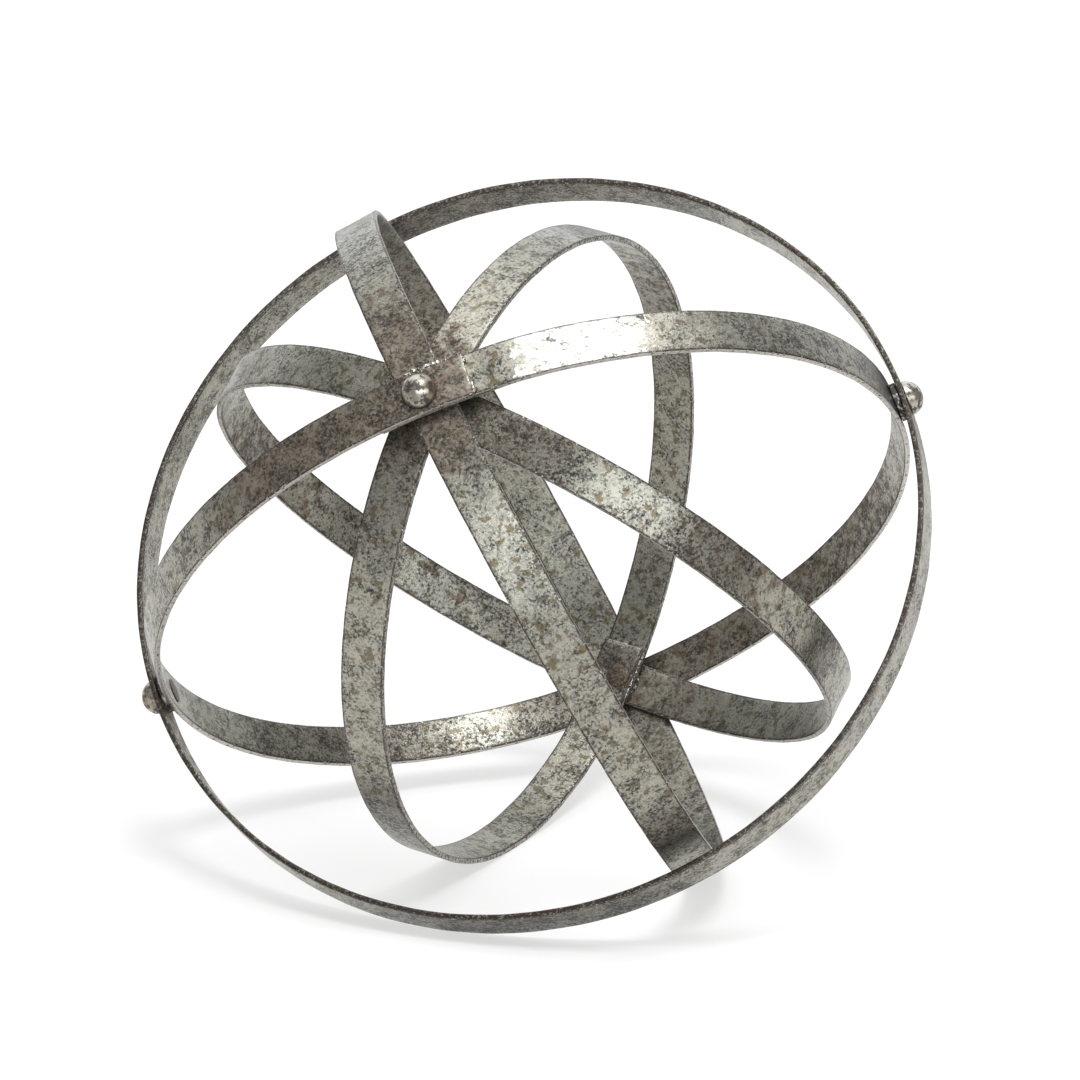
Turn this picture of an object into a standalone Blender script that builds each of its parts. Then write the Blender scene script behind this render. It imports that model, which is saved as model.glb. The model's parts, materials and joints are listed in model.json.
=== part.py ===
"""A decorative armillary sphere: five riveted strap-steel bands that swivel inside one another.

The orb is built about its own centre and then leant over into the attitude in which it rests.
Each band turns on one of two rivet axes. In both pivot frames local Z is the rivet axis, and a
band lies in its local XZ plane with its width along Y, turned about Z by its longitude.
Units are metres.
"""

import math
from collections import namedtuple

import bmesh
import bpy
from mathutils import Vector

# --- Strap stock ---------------------------------------------------------------------------------
STRAP_WIDTH = 0.0127
STRAP_THICKNESS = 0.0016
SEGMENTS = 96  # round one full band

# --- Lapped strap ends ---------------------------------------------------------------------------
PLY_GAP = 0.0001  # between the two plies
LAP_RAMP = 0.015  # length over which a strap steps in to pass under its other end

# --- Rivets and washers --------------------------------------------------------------------------
CLEARANCE = 0.0001  # between a washer or rivet and the face that it bears on
HEAD_RADIUS = 0.0050
HEAD_HEIGHT = 0.0044
SHANK_RADIUS = 0.0024
HOLE_RADIUS = 0.0027
TAIL_RADIUS = 0.0036
DOMED_TAIL = 0.0010  # height of the peened tails of the inner pivot's rivets
FLUSH_TAIL = 0.0003  # and of the outer pivot's, hammered nearly flat
WASHER_RADIUS = 0.0055
ROUND_SIDES = 32
ARC_STEPS = 6  # from a crown to its rim

# --- Band sizes ----------------------------------------------------------------------------------
CARRIER_POLE_RADIUS = 0.1052  # carrier band's outer face, at the inner pivot's two rivets
CARRIER_SIDE_RADIUS = 0.1102  # and at the outer pivot's two rivets
STACK_GAP = 0.0008  # between nested bands where they cross at a rivet
OUTER_GAP = 0.0019  # between the carrier and the outer band, at the outer pivot
OUTER_POLE_RADIUS = CARRIER_SIDE_RADIUS + OUTER_GAP + STRAP_THICKNESS

# --- Attitude ------------------------------------------------------------------------------------
OUTER_PIVOT_TILT = math.radians(90.8)  # the outer rivet axis, measured from the inner one
REST_ATTITUDE = (math.radians(46.95), math.radians(-24.04), math.radians(-0.52))

FRONT, BACK = 1, -1
TURN = 2 * math.pi

# longitude: about the pivot axis. side_radius: outer face a quarter turn from the rivets.
# shift: of the oval's centre towards its local +X. off_centre: how far the strap's middle stands
# from its own rivet holes. lap: the pole where its ends overlap, or None for a butt-welded band.
# lap_half: from the rivet to each strap end. outer_end: +1 if the upper ply ends on the +X side.
# skew: sideways drift of the ply underneath.
Band = namedtuple(
    "Band",
    "name longitude side_radius shift off_centre lap lap_half outer_end skew colour",
)
CARRIER = Band(
    "carrier_band", 0.0, CARRIER_SIDE_RADIUS, 0.0, 0.0, FRONT, 0.0130, 1, 0.0006,
    (0.30, 0.28, 0.25),
)
LARGE = Band(
    "large_inner_band", 97.1, 0.1043, 0.0007, -0.0011, None, 0.0, 1, 0.0,
    (0.36, 0.35, 0.32),
)
MIDDLE = Band(
    "middle_inner_band", 135.1, 0.0960, -0.0003, -0.0005, None, 0.0, 1, 0.0,
    (0.33, 0.32, 0.30),
)
SMALL = Band(
    "small_inner_band", 49.4, 0.0899, 0.0006, 0.0017, BACK, 0.0105, -1, 0.0004,
    (0.38, 0.37, 0.34),
)
OUTER = Band(
    "outer_band", 92.5, 0.1107, 0.0006, -0.0002, None, 0.0, 1, 0.0,
    (0.40, 0.40, 0.38),
)
NESTED = (CARRIER, LARGE, MIDDLE, SMALL)  # from the outside in


def clear_scene():
    for obj in list(bpy.data.objects):
        bpy.data.objects.remove(obj, do_unlink=True)


def metal(name, colour, roughness):
    """A Principled metal."""
    material = bpy.data.materials.new(name)
    material.use_nodes = True
    shader = material.node_tree.nodes["Principled BSDF"]
    shader.inputs["Base Color"].default_value = (*colour, 1.0)
    shader.inputs["Roughness"].default_value = roughness
    shader.inputs["Metallic"].default_value = 0.9
    return material


def place(obj, parent, location=(0, 0, 0), rotation=(0, 0, 0)):
    bpy.context.scene.collection.objects.link(obj)
    obj.parent = parent
    obj.location = location
    obj.rotation_euler = rotation
    return obj


def add_empty(name, parent=None, rotation=(0, 0, 0)):
    return place(bpy.data.objects.new(name, None), parent, rotation=rotation)


def mesh_object(name, shape, material):
    """Turns a finished bmesh into an object, its faces pointing out and its round faces smooth."""
    bmesh.ops.recalc_face_normals(shape, faces=shape.faces)
    mesh = bpy.data.meshes.new(name)
    shape.to_mesh(mesh)
    shape.free()
    mesh.shade_smooth()
    mesh.set_sharp_from_angle(angle=math.radians(35))
    mesh.materials.append(material)
    return bpy.data.objects.new(name, mesh)


# --- Bands ---------------------------------------------------------------------------------------


def plies_depth(band, pole):
    """Depth of the strap at one of its poles: two plies where its ends lap there."""
    if band.lap == pole:
        return 2 * STRAP_THICKNESS + PLY_GAP
    return STRAP_THICKNESS


def stack_radii():
    """Outer-face radius of each nested band at the front and back rivets, from the outside in."""
    radii = {}
    reached = {FRONT: CARRIER_POLE_RADIUS, BACK: CARRIER_POLE_RADIUS}
    for band in NESTED:
        radii[band.name] = dict(reached)
        for pole in reached:
            reached[pole] -= plies_depth(band, pole) + STACK_GAP
    return radii


def ply_depth(angle, lap_angle, ramp_angle):
    """How far the strap has stepped in, smoothly, to pass under its own other end."""
    travel = (angle - (TURN - lap_angle - ramp_angle)) / ramp_angle
    travel = min(max(travel, 0.0), 1.0)
    return travel * travel * (3 - 2 * travel)


def station(band, pole_radii, angle, step_in):
    """The strap's four corners at an angle from its lap pole, outer pair first."""
    lap_pole = band.lap or FRONT
    pole_radius = (pole_radii[FRONT] + pole_radii[BACK]) / 2
    slide = (pole_radii[FRONT] - pole_radii[BACK]) / 2
    sine = -band.outer_end * math.sin(angle)
    cosine = lap_pole * math.cos(angle)
    side = band.off_centre + band.skew * step_in
    middle = Vector((band.shift + band.side_radius * sine, side, slide + pole_radius * cosine))
    outward = Vector((pole_radius * sine, 0.0, band.side_radius * cosine)).normalized()
    half_width = Vector((0.0, STRAP_WIDTH / 2, 0.0))
    outer = middle - outward * (STRAP_THICKNESS + PLY_GAP) * step_in
    inner = outer - outward * STRAP_THICKNESS
    return outer + half_width, outer - half_width, inner - half_width, inner + half_width


def bridge(shape, first, second):
    """Four faces between two rings of four corners."""
    for corner in range(4):
        after = (corner + 1) % 4
        shape.faces.new((first[corner], first[after], second[after], second[corner]))


def band_shape(band, pole_radii):
    """A strap bent round into a hoop, its ends lapped or, on a welded band, joined."""
    mean_radius = (pole_radii[FRONT] + pole_radii[BACK]) / 2
    lap_angle = band.lap_half / mean_radius
    ramp_angle = LAP_RAMP / mean_radius
    span = TURN + 2 * lap_angle
    steps = round(SEGMENTS * span / TURN)
    shape = bmesh.new()
    rings = []
    for index in range(steps + 1 if band.lap else steps):
        angle = span * index / steps - lap_angle
        step_in = ply_depth(angle, lap_angle, ramp_angle) if band.lap else 0.0
        corners = station(band, pole_radii, angle, step_in)
        rings.append([shape.verts.new(corner) for corner in corners])
    for first, second in zip(rings, rings[1:]):
        bridge(shape, first, second)
    if band.lap:
        shape.faces.new(rings[0])
        shape.faces.new(rings[-1])
    else:
        bridge(shape, rings[-1], rings[0])
    return shape


def add_band(band, pole_radii, pivot, bores):
    """A band with its rivet holes, turned to its longitude about the pivot."""
    material = metal("strap_" + band.name, band.colour, 0.45)
    obj = mesh_object(band.name, band_shape(band, pole_radii), material)
    place(obj, pivot, rotation=(0, 0, math.radians(band.longitude)))
    for bore in bores:
        hole = obj.modifiers.new(bore.name, "BOOLEAN")
        hole.operation = "DIFFERENCE"
        hole.solver = "EXACT"
        hole.object = bore
    return obj


# --- Turned pieces -------------------------------------------------------------------------------


def turned_shape(profile):
    """A solid of revolution about Z. A profile that doesn't start on the axis closes on itself."""
    shape = bmesh.new()
    rings = []
    for radius, height in profile:
        sides = ROUND_SIDES if radius > 0 else 1
        turns = [TURN * side / sides for side in range(sides)]
        points = [(radius * math.cos(turn), radius * math.sin(turn), height) for turn in turns]
        rings.append([shape.verts.new(point) for point in points])
    pairs = list(zip(rings, rings[1:]))
    if profile[0][0] > 0:
        pairs.append((rings[-1], rings[0]))
    for upper, lower in pairs:
        for side in range(ROUND_SIDES):
            after = (side + 1) % ROUND_SIDES
            if len(upper) == 1:
                shape.faces.new((upper[0], lower[side], lower[after]))
            elif len(lower) == 1:
                shape.faces.new((upper[side], lower[0], upper[after]))
            else:
                shape.faces.new((upper[side], lower[side], lower[after], upper[after]))
    return shape


def head_profile():
    """The domed head, from its crown down to the rim, standing on z = CLEARANCE."""
    ball = (HEAD_RADIUS**2 + HEAD_HEIGHT**2) / (2 * HEAD_HEIGHT)
    centre = HEAD_HEIGHT - ball
    rim_angle = math.acos(-centre / ball)
    angles = [rim_angle * step / ARC_STEPS for step in range(ARC_STEPS + 1)]
    return [
        (ball * math.sin(angle), centre + ball * math.cos(angle) + CLEARANCE) for angle in angles
    ]


def tail_profile(seat, height):
    """The peened tail, from the rim of its flat seat down to its low crown."""
    angles = [math.pi / 2 * step / ARC_STEPS for step in range(ARC_STEPS)]
    rim = [(TAIL_RADIUS * math.cos(angle), seat - height * math.sin(angle)) for angle in angles]
    return rim + [(0.0, seat - height)]


def seat_dip(radius, bend):
    """How far a flat seat's middle stands off the hollow side of a bent strap."""
    return radius**2 / (2 * bend)


def rivet_shape(seat, tail_height):
    """Head, shank and tail in one piece. The head bears on z = 0, and the tail below the seat."""
    shank = [(SHANK_RADIUS, CLEARANCE), (SHANK_RADIUS, seat)]
    return turned_shape(head_profile() + shank + tail_profile(seat, tail_height))


def washer_shape(thickness):
    """A flat washer, its upper face on z = 0."""
    return turned_shape(
        [
            (HOLE_RADIUS, 0.0),
            (WASHER_RADIUS, 0.0),
            (WASHER_RADIUS, -thickness),
            (HOLE_RADIUS, -thickness),
        ]
    )


def place_on_axis(obj, pivot, pole, radius):
    """Stands a turned piece on a pivot's axis with its Z pointing away from the centre."""
    flip = 0.0 if pole == FRONT else math.pi
    place(obj, pivot, location=(0, 0, pole * radius), rotation=(flip, 0, 0))


def add_spacer(name, pivot, pole, outer_face, gap, material):
    """A washer between two bands: outer_face is the hollow face of the band outside it."""
    dip = seat_dip(WASHER_RADIUS, outer_face)
    thickness = gap - dip - 2 * CLEARANCE
    obj = mesh_object(name, washer_shape(thickness), material)
    place_on_axis(obj, pivot, pole, outer_face - dip - CLEARANCE)


def add_rivet(name, pivot, pole, faces, tail_height, material):
    """A rivet through a stack of bands, whose outermost and innermost faces are given."""
    head_face, tail_face = faces
    tail_seat = tail_face - seat_dip(TAIL_RADIUS, tail_face) - CLEARANCE - head_face
    obj = mesh_object(name, rivet_shape(tail_seat, tail_height), material)
    place_on_axis(obj, pivot, pole, head_face)


def add_bore(name, pivot):
    """The cutter for a pivot's two rows of rivet holes: one rod right through the orb."""
    shape = bmesh.new()
    bmesh.ops.create_cone(
        shape,
        cap_ends=True,
        segments=ROUND_SIDES,
        radius1=HOLE_RADIUS,
        radius2=HOLE_RADIUS,
        depth=2.2 * OUTER_POLE_RADIUS,
    )
    bore = mesh_object(name, shape, metal(name, (0.8, 0.2, 0.1), 0.5))
    bore.hide_render = True
    bore.display_type = "WIRE"
    return place(bore, pivot)


# --- Assembly ------------------------------------------------------------------------------------


def build_inner_stack(pivot, bore, outer_bore, materials):
    """The carrier and the three bands nested in it, on the two rivets of the inner pivot."""
    radii = stack_radii()
    add_band(CARRIER, radii[CARRIER.name], pivot, (bore, outer_bore))
    for band in NESTED[1:]:
        add_band(band, radii[band.name], pivot, (bore,))
    for label, pole in (("front", FRONT), ("back", BACK)):
        for outside, inside in zip(NESTED, NESTED[1:]):
            hollow_face = radii[outside.name][pole] - plies_depth(outside, pole)
            name = f"washer_{label}_{inside.name.split('_')[0]}"
            add_spacer(name, pivot, pole, hollow_face, STACK_GAP, materials["washer"])
        faces = (CARRIER_POLE_RADIUS, radii[SMALL.name][pole] - plies_depth(SMALL, pole))
        add_rivet("rivet_" + label, pivot, pole, faces, DOMED_TAIL, materials["rivet"])


def build_outer_joint(pivot, bore, materials):
    """The outer band, on two rivets through the carrier's sides."""
    pole_radii = {FRONT: OUTER_POLE_RADIUS, BACK: OUTER_POLE_RADIUS}
    add_band(OUTER, pole_radii, pivot, (bore,))
    for label, pole in (("right", FRONT), ("left", BACK)):
        hollow_face = OUTER_POLE_RADIUS - STRAP_THICKNESS
        add_spacer(f"washer_{label}", pivot, pole, hollow_face, OUTER_GAP, materials["washer"])
        faces = (OUTER_POLE_RADIUS, CARRIER_SIDE_RADIUS - STRAP_THICKNESS)
        add_rivet("rivet_" + label, pivot, pole, faces, FLUSH_TAIL, materials["rivet"])


def settle(root):
    """Moves the leant-over orb so that the middle of its box's floor is at the origin."""
    bpy.context.view_layer.update()
    points = [
        obj.matrix_world @ vertex.co
        for obj in bpy.context.scene.objects
        if obj.type == "MESH" and not obj.hide_render
        for vertex in obj.data.vertices
    ]
    lowest = Vector([min(point[axis] for point in points) for axis in range(3)])
    highest = Vector([max(point[axis] for point in points) for axis in range(3)])
    middle = (lowest + highest) / 2
    root.location = (-middle.x, -middle.y, -lowest.z)
    bpy.context.view_layer.update()


def main():
    clear_scene()
    materials = {
        "rivet": metal("rivet_steel", (0.55, 0.54, 0.50), 0.25),
        "washer": metal("washer_steel", (0.16, 0.15, 0.14), 0.55),
    }
    root = add_empty("orb_attitude", rotation=REST_ATTITUDE)
    inner_pivot = add_empty("inner_pivot", root)
    outer_pivot = add_empty("outer_pivot", root, rotation=(0, OUTER_PIVOT_TILT, 0))
    inner_bore = add_bore("bore_inner", inner_pivot)
    outer_bore = add_bore("bore_outer", outer_pivot)
    build_inner_stack(inner_pivot, inner_bore, outer_bore, materials)
    build_outer_joint(outer_pivot, outer_bore, materials)
    settle(root)


main()
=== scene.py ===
"""Looks of a decorative armillary sphere: five riveted bands of mottled zinc strap.

Each band is swept again along the four corner lines of its CAD node, with rounded cut edges, bored
holes and the slight waviness of strap bent by hand. Rivets and washers are refined from their CAD
nodes, and small weld beads close the two lapped joints. Units are metres, in the CAD frame.
"""

import json
import math
from collections import namedtuple

import bmesh
import bpy
import numpy as np
from mathutils import Matrix, Vector, noise


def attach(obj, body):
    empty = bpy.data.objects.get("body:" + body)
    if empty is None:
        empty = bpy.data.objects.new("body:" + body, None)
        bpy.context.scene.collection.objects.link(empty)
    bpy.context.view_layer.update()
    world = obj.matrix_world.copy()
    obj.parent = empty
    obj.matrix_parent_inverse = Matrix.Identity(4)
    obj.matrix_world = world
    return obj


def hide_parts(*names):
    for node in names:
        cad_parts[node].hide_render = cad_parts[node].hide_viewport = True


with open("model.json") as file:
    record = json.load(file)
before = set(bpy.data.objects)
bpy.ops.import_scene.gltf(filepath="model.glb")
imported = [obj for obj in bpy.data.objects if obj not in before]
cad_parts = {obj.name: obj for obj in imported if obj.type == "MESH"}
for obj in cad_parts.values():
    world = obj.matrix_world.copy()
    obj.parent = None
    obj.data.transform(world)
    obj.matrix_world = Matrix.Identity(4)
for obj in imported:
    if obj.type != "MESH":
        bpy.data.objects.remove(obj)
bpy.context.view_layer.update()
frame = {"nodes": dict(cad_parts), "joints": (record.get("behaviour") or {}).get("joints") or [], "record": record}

MM = 0.001
SPLIT_DISTANCE = 1e-6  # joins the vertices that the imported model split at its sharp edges

# --- Corner lines and holes of a CAD strap -------------------------------------------------------
CORNER_ANGLE = 0.8  # radians: the faces on either side of a long corner turn at least this much
CORNER_SHARE = 0.8  # of half the strap's width: every long corner lies further out
HOLE_REACH = 3 * MM  # a hole's axis passes nearer to the strap's middle line than this
HOLE_STEP = 0.05 * MM  # between the places tried along the strap

# --- Strap mesh ----------------------------------------------------------------------------------
CELL = 1.5 * MM  # usual length of a face along the strap
FACE_CELLS = 8  # across a strap's flat face
SIDE_CELLS = 2  # across its cut edge
EDGE_RADIUS = 0.32 * MM
EDGE_STEPS = 3
BORE_CHAMFER = 0.15 * MM
PATCH_CELLS = 8  # along the strap, in the patch that is laid out round a rivet hole
PATCH_HALF = PATCH_CELLS * CELL / 2
PATCH_RINGS = (1.0, 0.6, 0.25, 0.0)  # from the patch's border to the hole's rim

# --- Hand-bent unevenness ------------------------------------------------------------------------
BOW_HEIGHT = 0.11 * MM
BOW_LENGTH = 9 * MM
BOW_INWARD = 0.2  # share of the height that the bow lies inwards, so that no band grows
RAGGED_HEIGHT = 0.09 * MM
RAGGED_LENGTH = 5 * MM
CALM_SPAN = (7.15 * MM, 20.15 * MM)  # from a rivet, where the bow starts and reaches its height

# --- Rivet and weld meshes -----------------------------------------------------------------------
SHARP_ANGLE = math.radians(40)
# The head's foot is darkened there as painted shade, where it meets the strap.
HEAD_FOOT = (4.05 * MM, 4.5 * MM)  # below a rivet's top, where its head meets the strap
DENT_HEIGHT = 0.06 * MM
DENT_LENGTH = 2.5 * MM
DENT_INWARD = 0.6  # share of the height that the dents lie inwards, so that no rivet grows
WELD_STEP = 0.3 * MM
WELD_SIDES = 12
LUMP_LENGTH = 0.9 * MM

# --- Camera --------------------------------------------------------------------------------------
LENS = 179.7
SENSOR = 36.0
CAMERA_TURNS = (math.radians(-0.285), math.radians(73.509), math.radians(1.004))  # heading first
CAMERA_OFFSET = Vector((0.00295, 0.00253, 1.510))  # from the orb's centre, in the camera's axes

# --- Stains --------------------------------------------------------------------------------------
# A stained, shaded or brightened stretch of a band: where it starts and finishes (degrees round the
# band from the front or right rivet, growing towards the right), how gradually each way, and how
# strongly.
Zone = namedtuple("Zone", "start finish fade_before fade_after strength")
# seed sets a band's own pattern, and bare is how bare and bright the steel of its cut sides is.
# tarnish is rust-brown. The grime stain darkens the zinc and crowds the slate flecks together; it is
# partly real grime and partly painted shade, where bands cross at the rivets, where they turn lowest
# near the floor, and where a highlight is dimmed. In the worn stain the zinc is rubbed clean and
# painted bright, partly as a painted highlight where the key light falls.
STAINS = ("tarnish", "grime", "worn")
Finish = namedtuple("Finish", ("seed", "bare", *STAINS), defaults=((),))
# Much of the grime below is painted shade: at the rivets where bands cross, at the bands' lowest turns near the
# floor, and where a highlight is dimmed. The carrier's worn zone is partly a painted highlight.
FINISHES = {
    "carrier_band": Finish(
        seed=3.1,
        bare=1.0,
        tarnish=(Zone(-28, 7, 24, 0.5, 0.85), Zone(122, 172, 20, 8, 0.7)),
        grime=(
            Zone(-5, 7, 8, 0.5, 0.6),
            Zone(-172, -163, 4, 5, 0.7),
            Zone(-149, -116, 5, 10, 0.8),
            Zone(54, 68, 8, 6, 0.45),
            Zone(80, 95, 6, 6, 0.9),
            Zone(177, 184, 4, 4, 1.0),
        ),
        # Rubbed zinc painted bright where the key light's highlight falls, partly a painted highlight.
        worn=(Zone(16, 31, 5, 8, 0.6),),
    ),
    "large_inner_band": Finish(
        seed=17.4,
        bare=0.6,
        tarnish=(
            Zone(-118, -92, 8, 10, 0.45),
            Zone(-14, 11, 18, 6, 0.9),
            Zone(146, 178, 12, 6, 0.5),
        ),
        grime=(
            Zone(-124, -116, 4, 4, 0.6),
            Zone(-88, -68, 8, 8, 0.55),
            Zone(-40, -20, 8, 8, 0.45),
            Zone(-5, 4, 6, 6, 0.3),
            Zone(80, 86, 6, 5, 1.0),
        ),
    ),
    "middle_inner_band": Finish(
        seed=29.8,
        bare=0.6,
        tarnish=(
            Zone(-158, -140, 8, 12, 0.4),
            Zone(-112, -84, 10, 12, 0.6),
            Zone(-6, 8, 6, 10, 0.5),
            Zone(47, 66, 6, 10, 0.55),
            Zone(166, 188, 14, 6, 0.6),
        ),
        grime=(
            Zone(-158, -144, 5, 5, 0.6),
            Zone(-126, -120, 5, 4, 0.6),
            Zone(5, 23, 4, 8, 1.0),
            Zone(46, 58, 5, 6, 0.8),
            Zone(82, 87, 5, 5, 0.8),
        ),
    ),
    "small_inner_band": Finish(
        seed=41.2,
        bare=0.5,
        tarnish=(
            Zone(-10, 12, 10, 6, 0.7),
            Zone(84, 104, 10, 12, 0.4),
            Zone(177, 182, 4, 3, 0.8),
        ),
        grime=(
            Zone(-148, -140, 6, 6, 0.5),
            Zone(-90, -78, 6, 6, 0.5),
            Zone(-4, 8, 5, 5, 0.7),
            Zone(38, 56, 8, 8, 0.5),
            Zone(177, 182, 3, 3, 0.6),
        ),
    ),
    "outer_band": Finish(
        seed=53.6,
        bare=0.0,
        tarnish=(
            Zone(-5, 6, 10, 10, 0.6),
            Zone(172, 190, 12, 12, 0.7),
            Zone(-95, -58, 14, 14, 0.35),
        ),
        grime=(
            Zone(-6, 6, 8, 8, 0.5),
            Zone(-94, -48, 12, 10, 0.8),
            Zone(92, 118, 12, 12, 1.0),
        ),
    ),
}

# --- Welds ---------------------------------------------------------------------------------------
# A weld bead on a lapped joint: whether it holds the end that lies outside, how deep it lies (as a
# share of the strap's thickness), the places it passes (distance back from that end, and across as
# a share of half the width, upwards), and its radius.
Weld = namedtuple("Weld", "outside depth path radius")
WELDS = {
    "carrier_band": (
        Weld(True, 0.3, ((17 * MM, 0.99), (4 * MM, 0.96)), 0.85 * MM),
        Weld(True, 0.8, ((-0.1 * MM, 0.95), (-0.1 * MM, 0.7)), 1.0 * MM),
        Weld(True, 0.9, ((-0.2 * MM, -0.3), (-0.2 * MM, -0.9)), 0.8 * MM),
    ),
    "small_inner_band": (
        Weld(False, 0.0, ((-0.1 * MM, -0.95), (-0.1 * MM, 0.95)), 0.4 * MM),
        Weld(False, 0.0, ((0.0, 0.97), (16 * MM, 1.0)), 0.5 * MM),
        Weld(False, 0.0, ((0.0, -0.97), (16 * MM, -1.0)), 0.5 * MM),
    ),
}

# --- Colours -------------------------------------------------------------------------------------
ZINC_LIGHT = (0.40, 0.385, 0.325)
ZINC_GREY = (0.225, 0.215, 0.178)
# Bright rubbed zinc, also used as a painted highlight.
WORN_HIGHLIGHT_ZINC = (0.74, 0.73, 0.70)
SLATE = (0.055, 0.055, 0.058)
OLIVE = (0.14, 0.108, 0.048)
RUST_BROWN = (0.225, 0.175, 0.14)
DRAB = (0.19, 0.155, 0.098)
UMBER = (0.048, 0.037, 0.031)
# Dark zinc for grime, and for painted shade in the same zones.
GRIME_AND_SHADE = (0.105, 0.096, 0.076)
BLACK_PIT = (0.02, 0.018, 0.016)
BARE_STEEL = (0.55, 0.52, 0.47)
CHIPPED_STEEL = (0.66, 0.64, 0.60)
PEWTER = (0.44, 0.42, 0.37)
PEWTER_DARK = (0.23, 0.195, 0.155)
RIVET_SPOT = (0.06, 0.048, 0.042)
OXIDE_DARK = (0.035, 0.03, 0.028)
OXIDE_LIGHT = (0.10, 0.09, 0.085)
RUBBED_STEEL = (0.55, 0.54, 0.50)
WELD_BRIGHT = (0.58, 0.56, 0.51)
WELD_SOOT = (0.06, 0.05, 0.045)
COOL_WHITE = (0.91, 0.955, 1.0)

# --- Stage ---------------------------------------------------------------------------------------
LIGHT_DISTANCE = 1.6
FLOOR_HALF = 12.0  # far wider than any view of the orb
FLOOR_TINTS = ((0.33, 0.33, 0.33), (0.34, 0.34, 0.34))


# --- The frame's own measures --------------------------------------------------------------------


def joint(name):
    """What the frame says of a joint."""
    return next(entry for entry in frame["joints"] if entry["name"] == name)


HUB = Vector(joint("small_turn")["pos_m"])
INNER_AXIS = Vector(joint("small_turn")["axis"]).normalized()
OUTER_AXIS = Vector(joint("outer_swing")["axis"]).normalized()


def body_of(node_name):
    """The moving body that a CAD node belongs to."""
    bodies = frame["record"]["behaviour"]["bodies"]
    return next(body for body, members in bodies.items() if node_name in members)


def welded(node_name):
    """A bmesh of a CAD node, with the vertices that its export split joined again."""
    shape = bmesh.new()
    shape.from_mesh(frame["nodes"][node_name].data)
    bmesh.ops.remove_doubles(shape, verts=shape.verts, dist=SPLIT_DISTANCE)
    shape.verts.ensure_lookup_table()
    return shape


def chains(pairs):
    """Runs of vertex numbers that the pairs join end to end, and whether the runs close."""
    beside = {}
    for first, second in pairs:
        beside.setdefault(first, []).append(second)
        beside.setdefault(second, []).append(first)
    ends = [vertex for vertex in beside if len(beside[vertex]) == 1]
    runs, seen = [], set()
    for start in ends or sorted(beside):
        if start in seen:
            continue
        run = [start]
        seen.add(start)
        while True:
            onward = [vertex for vertex in beside[run[-1]] if vertex not in seen]
            if not onward:
                break
            run.append(onward[0])
            seen.add(onward[0])
        runs.append(run)
    return runs, not ends


def corner_lines(node_name, axis):
    """A strap's four long corners as arrays of points, outer pair first, and whether they close.

    They all run the same way round, and a closed one starts a quarter turn from the rivets.
    """
    shape = welded(node_name)
    points = np.array([vertex.co for vertex in shape.verts]) - np.array(HUB)
    normal = np.linalg.svd(points - points.mean(axis=0), full_matrices=False)[2][-1]
    side = points @ normal
    side -= (side.min() + side.max()) / 2
    edge_side = CORNER_SHARE * side.max()
    pairs = []
    for edge in shape.edges:
        first, second = (vertex.index for vertex in edge.verts)
        nearest = min(abs(side[first]), abs(side[second]))
        if edge.calc_face_angle(0.0) < CORNER_ANGLE or nearest < edge_side:
            continue
        if side[first] * side[second] < 0:
            continue
        outward = (points[first] + points[second]) / 2
        outward -= outward @ normal * normal
        run = points[second] - points[first]
        # An edge through the strap's thickness, at a cut end, is left out.
        if abs(run @ outward) < 0.5 * np.linalg.norm(run) * np.linalg.norm(outward):
            pairs.append((first, second))
    shape.free()
    runs, closed = chains(pairs)
    quarter = np.cross(normal, np.array(axis))
    lines = []
    for run in runs:
        line = points[run]
        if np.cross(line[:-1], line[1:]).sum(axis=0) @ normal < 0:
            line = line[::-1]
        if closed:
            line = np.roll(line, -int(np.argmax(line @ quarter)), axis=0)
        lines.append(line)
    lines.sort(key=lambda line: -np.linalg.norm(line, axis=1).mean())
    outer = sorted(lines[:2], key=lambda line: line.mean(axis=0) @ normal)
    inner = sorted(lines[2:], key=lambda line: -line.mean(axis=0) @ normal)
    return outer + inner, closed


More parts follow.
